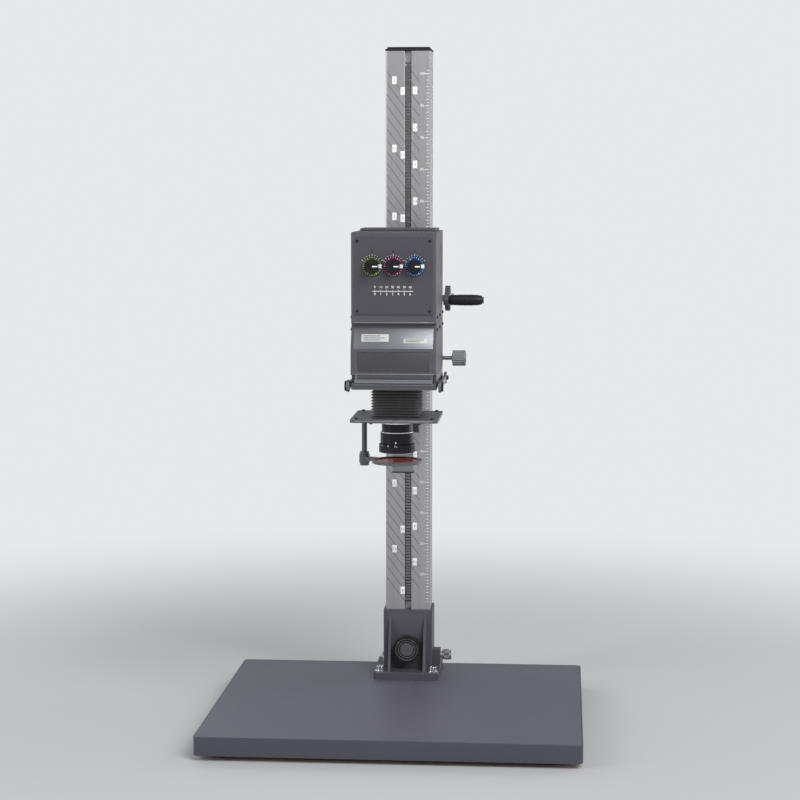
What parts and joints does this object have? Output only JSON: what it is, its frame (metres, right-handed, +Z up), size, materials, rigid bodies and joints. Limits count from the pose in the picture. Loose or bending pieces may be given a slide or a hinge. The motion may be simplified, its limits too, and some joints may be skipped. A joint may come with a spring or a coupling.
{
  "type": "photo enlarger",
  "caption": "Darkroom photo enlarger: colour head on a tilting carriage, cranked up a rack column above a baseboard, with bellows focusing and a swing-in red filter.",
  "frame": {"origin": "centre of the baseboard's footprint, on the plane that its feet stand on", "axes": "+Z up along the column, -Y towards the operator at the front of the baseboard, +X to the operator's right, where the crank is"},
  "size_m": [0.56, 0.49, 1.042],
  "materials": {
    "rubber_foot": "matt moulded rubber",
    "board_core": "raw chipboard",
    "board_laminate": "fine textured grey laminate",
    "edge_band": "satin plastic edging",
    "cast_grey": "fine hammered dark grey enamel",
    "bright_steel": "polished plated steel",
    "column_metal": "brushed anodised grey",
    "rack_steel": "oiled steel teeth",
    "black_plastic": "moulded black plastic",
    "glide_nylon": "natural nylon",
    "bush_bronze": "sintered bronze",
    "turned_steel": "turned steel",
    "gear_brass": "cut brass teeth",
    "frame_paint": "dark grey crackle paint",
    "stage_paint": "satin dark grey paint",
    "bellows_cloth": "black coated cloth",
    "case_paint": "fine textured charcoal paint",
    "panel_paint": "satin black panel",
    "sheet_metal": "bare sheet",
    "mirror": "front silvered mirror",
    "white_foam": "white foam lining",
    "opal": "opal diffuser",
    "heat_glass": "heat absorbing glass",
    "reflector": "dichroic reflector",
    "lamp_glass": "quartz capsule",
    "ceramic": "glazed ceramic",
    "dial_plastic": "satin black knob",
    "yellow_glass": "dichroic yellow",
    "magenta_glass": "dichroic magenta",
    "cyan_glass": "dichroic cyan",
    "lever_metal": "satin grey metal",
    "carrier_metal": "satin anodised",
    "plate_paint": "satin grey paint",
    "lens_black": "anodised lens barrel",
    "lens_glass": "coated glass",
    "knob_grey": "light grey knob",
    "red_glass": "red safety filter"
  },
  "bodies": {
    "stand": {"feet": "rubber_foot", "baseboard": "board_core", "board_laminate": "board_laminate", "edge_band": "edge_band", "column_bracket": "cast_grey", "bracket_bolts": "bright_steel", "column": "column_metal", "column_rack": "rack_steel", "column_cap": "black_plastic"},
    "column_clamp": {"clamp_knob": "black_plastic"},
    "carriage": {"carriage_housing": "frame_paint", "glide_pads": "glide_nylon", "shaft_bushes": "bush_bronze", "tilt_pivot": "turned_steel"},
    "crank": {"pinion_shaft": "turned_steel", "drive_pinion": "gear_brass", "crank_arm": "cast_grey"},
    "grip": {"crank_grip": "black_plastic"},
    "height_lock": {"height_lock_knob": "black_plastic"},
    "head": {"head_frame": "frame_paint", "negative_stage": "stage_paint", "guide_rods": "bright_steel", "focus_rail": "turned_steel", "bellows": "bellows_cloth"},
    "tilt_lock": {"tilt_lock_knob": "black_plastic"},
    "lamphouse": {"lamphouse_shell": "case_paint", "lower_housing": "case_paint", "control_panel": "panel_paint", "lamp_chassis": "sheet_metal", "light_mirror": "mirror", "mixing_box": "white_foam", "diffuser": "opal", "heat_glass": "heat_glass", "filter_guides": "black_plastic", "lamp_reflector": "reflector", "halogen_lamp": "lamp_glass", "lamp_socket": "ceramic", "power_inlet": "black_plastic"},
    "cover": {"lamp_cover": "case_paint"},
    "yellow_control": {"yellow_dial": "dial_plastic"},
    "magenta_control": {"magenta_dial": "dial_plastic"},
    "cyan_control": {"cyan_dial": "dial_plastic"},
    "yellow_slide": {"yellow_filter": "yellow_glass"},
    "magenta_slide": {"magenta_filter": "magenta_glass"},
    "cyan_slide": {"cyan_filter": "cyan_glass"},
    "lever": {"lift_lever": "lever_metal"},
    "carrier": {"carrier_bottom": "carrier_metal", "carrier_top": "carrier_metal"},
    "lens_unit": {"focus_slide": "frame_paint", "focus_rack": "gear_brass", "lens_stage": "plate_paint", "lens_board": "plate_paint", "lens_barrel": "lens_black", "lens_glass": "lens_glass", "iris": "lens_black"},
    "focus_drive": {"focus_shaft": "turned_steel", "focus_knob": "knob_grey"},
    "aperture": {"aperture_ring": "lens_black"},
    "red_filter": {"filter_holder": "plate_paint", "red_filter_glass": "red_glass"}
  },
  "joints": [
    {"name": "column_slide", "type": "slide", "parent": "stand", "child": "carriage", "axis": [0, 0, 1], "range_m": [-0.29, 0.3]},
    {"name": "crank_turn", "type": "hinge", "parent": "carriage", "child": "crank", "pos_m": [0, 0.153, 0.647], "axis": [1, 0, 0], "range_deg": [-1147, 1109]},
    {"name": "crank_grip_spin", "type": "hinge", "parent": "crank", "child": "grip", "pos_m": [0.09, 0.101, 0.647], "axis": [1, 0, 0], "continuous": true},
    {"name": "column_clamp_turn", "type": "hinge", "parent": "stand", "child": "column_clamp", "pos_m": [0, 0.15, 0.082], "axis": [0, 1, 0], "range_deg": [0, 180]},
    {"name": "height_lock_turn", "type": "hinge", "parent": "carriage", "child": "height_lock", "pos_m": [-0.05, 0.19, 0.6], "axis": [1, 0, 0], "range_deg": [0, 180]},
    {"name": "head_tilt", "type": "hinge", "parent": "carriage", "child": "head", "pos_m": [0, 0.1, 0.6], "axis": [0, 1, 0], "range_deg": [-90, 90]},
    {"name": "tilt_lock_turn", "type": "hinge", "parent": "head", "child": "tilt_lock", "pos_m": [-0.04, 0.102, 0.6], "axis": [1, 0, 0], "range_deg": [0, 180]},
    {"name": "lamphouse_lift", "type": "slide", "parent": "head", "child": "lamphouse", "axis": [0, 0, 1], "range_m": [0, 0.008]},
    {"name": "lever_turn", "type": "hinge", "parent": "head", "child": "lever", "pos_m": [0, 0.03, 0.532], "axis": [1, 0, 0], "range_deg": [0, 30.2]},
    {"name": "carrier_slide", "type": "slide", "parent": "head", "child": "carrier", "axis": [0, -1, 0], "range_m": [0, 0.15]},
    {"name": "focus_slide", "type": "slide", "parent": "head", "child": "lens_unit", "axis": [0, 0, 1], "range_m": [-0.06, 0.02], "deforming": ["bellows"]},
    {"name": "focus_knob_turn", "type": "hinge", "parent": "head", "child": "focus_drive", "pos_m": [0, 0.057, 0.56], "axis": [1, 0, 0], "range_deg": [-192, 574]},
    {"name": "aperture_turn", "type": "hinge", "parent": "lens_unit", "child": "aperture", "pos_m": [0, -0.055, 0.434], "axis": [0, 0, 1], "range_deg": [0, 100]},
    {"name": "red_filter_swing", "type": "hinge", "parent": "lens_unit", "child": "red_filter", "pos_m": [-0.052, -0.025, 0.413], "axis": [0, 0, 1], "range_deg": [-110, 0]},
    {"name": "lamp_cover_hinge", "type": "hinge", "parent": "lamphouse", "child": "cover", "pos_m": [0, 0.046, 0.757], "axis": [1, 0, 0], "range_deg": [-100, 0]},
    {"name": "yellow_dial_turn", "type": "hinge", "parent": "lamphouse", "child": "yellow_control", "pos_m": [-0.031, -0.12, 0.708], "axis": [0, 1, 0], "range_deg": [0, 270]},
    {"name": "yellow_filter_slide", "type": "slide", "parent": "lamphouse", "child": "yellow_slide", "axis": [1, 0, 0], "range_m": [-0.0372, 0]},
    {"name": "magenta_dial_turn", "type": "hinge", "parent": "lamphouse", "child": "magenta_control", "pos_m": [0, -0.12, 0.708], "axis": [0, 1, 0], "range_deg": [0, 270]},
    {"name": "magenta_filter_slide", "type": "slide", "parent": "lamphouse", "child": "magenta_slide", "axis": [1, 0, 0], "range_m": [-0.0372, 0]},
    {"name": "cyan_dial_turn", "type": "hinge", "parent": "lamphouse", "child": "cyan_control", "pos_m": [0.031, -0.12, 0.708], "axis": [0, 1, 0], "range_deg": [0, 270]},
    {"name": "cyan_filter_slide", "type": "slide", "parent": "lamphouse", "child": "cyan_slide", "axis": [1, 0, 0], "range_m": [-0.0372, 0]}
  ],
  "couplings": [
    {"joint": "crank_turn", "follows": "column_slide", "rad_per_m": -66.667},
    {"joint": "lever_turn", "follows": "lamphouse_lift", "rad_per_m": 65.45},
    {"joint": "focus_knob_turn", "follows": "focus_slide", "rad_per_m": -166.67},
    {"joint": "yellow_filter_slide", "follows": "yellow_dial_turn", "m_per_rad": -0.00785},
    {"joint": "magenta_filter_slide", "follows": "magenta_dial_turn", "m_per_rad": -0.00785},
    {"joint": "cyan_filter_slide", "follows": "cyan_dial_turn", "m_per_rad": -0.00785}
  ]
}
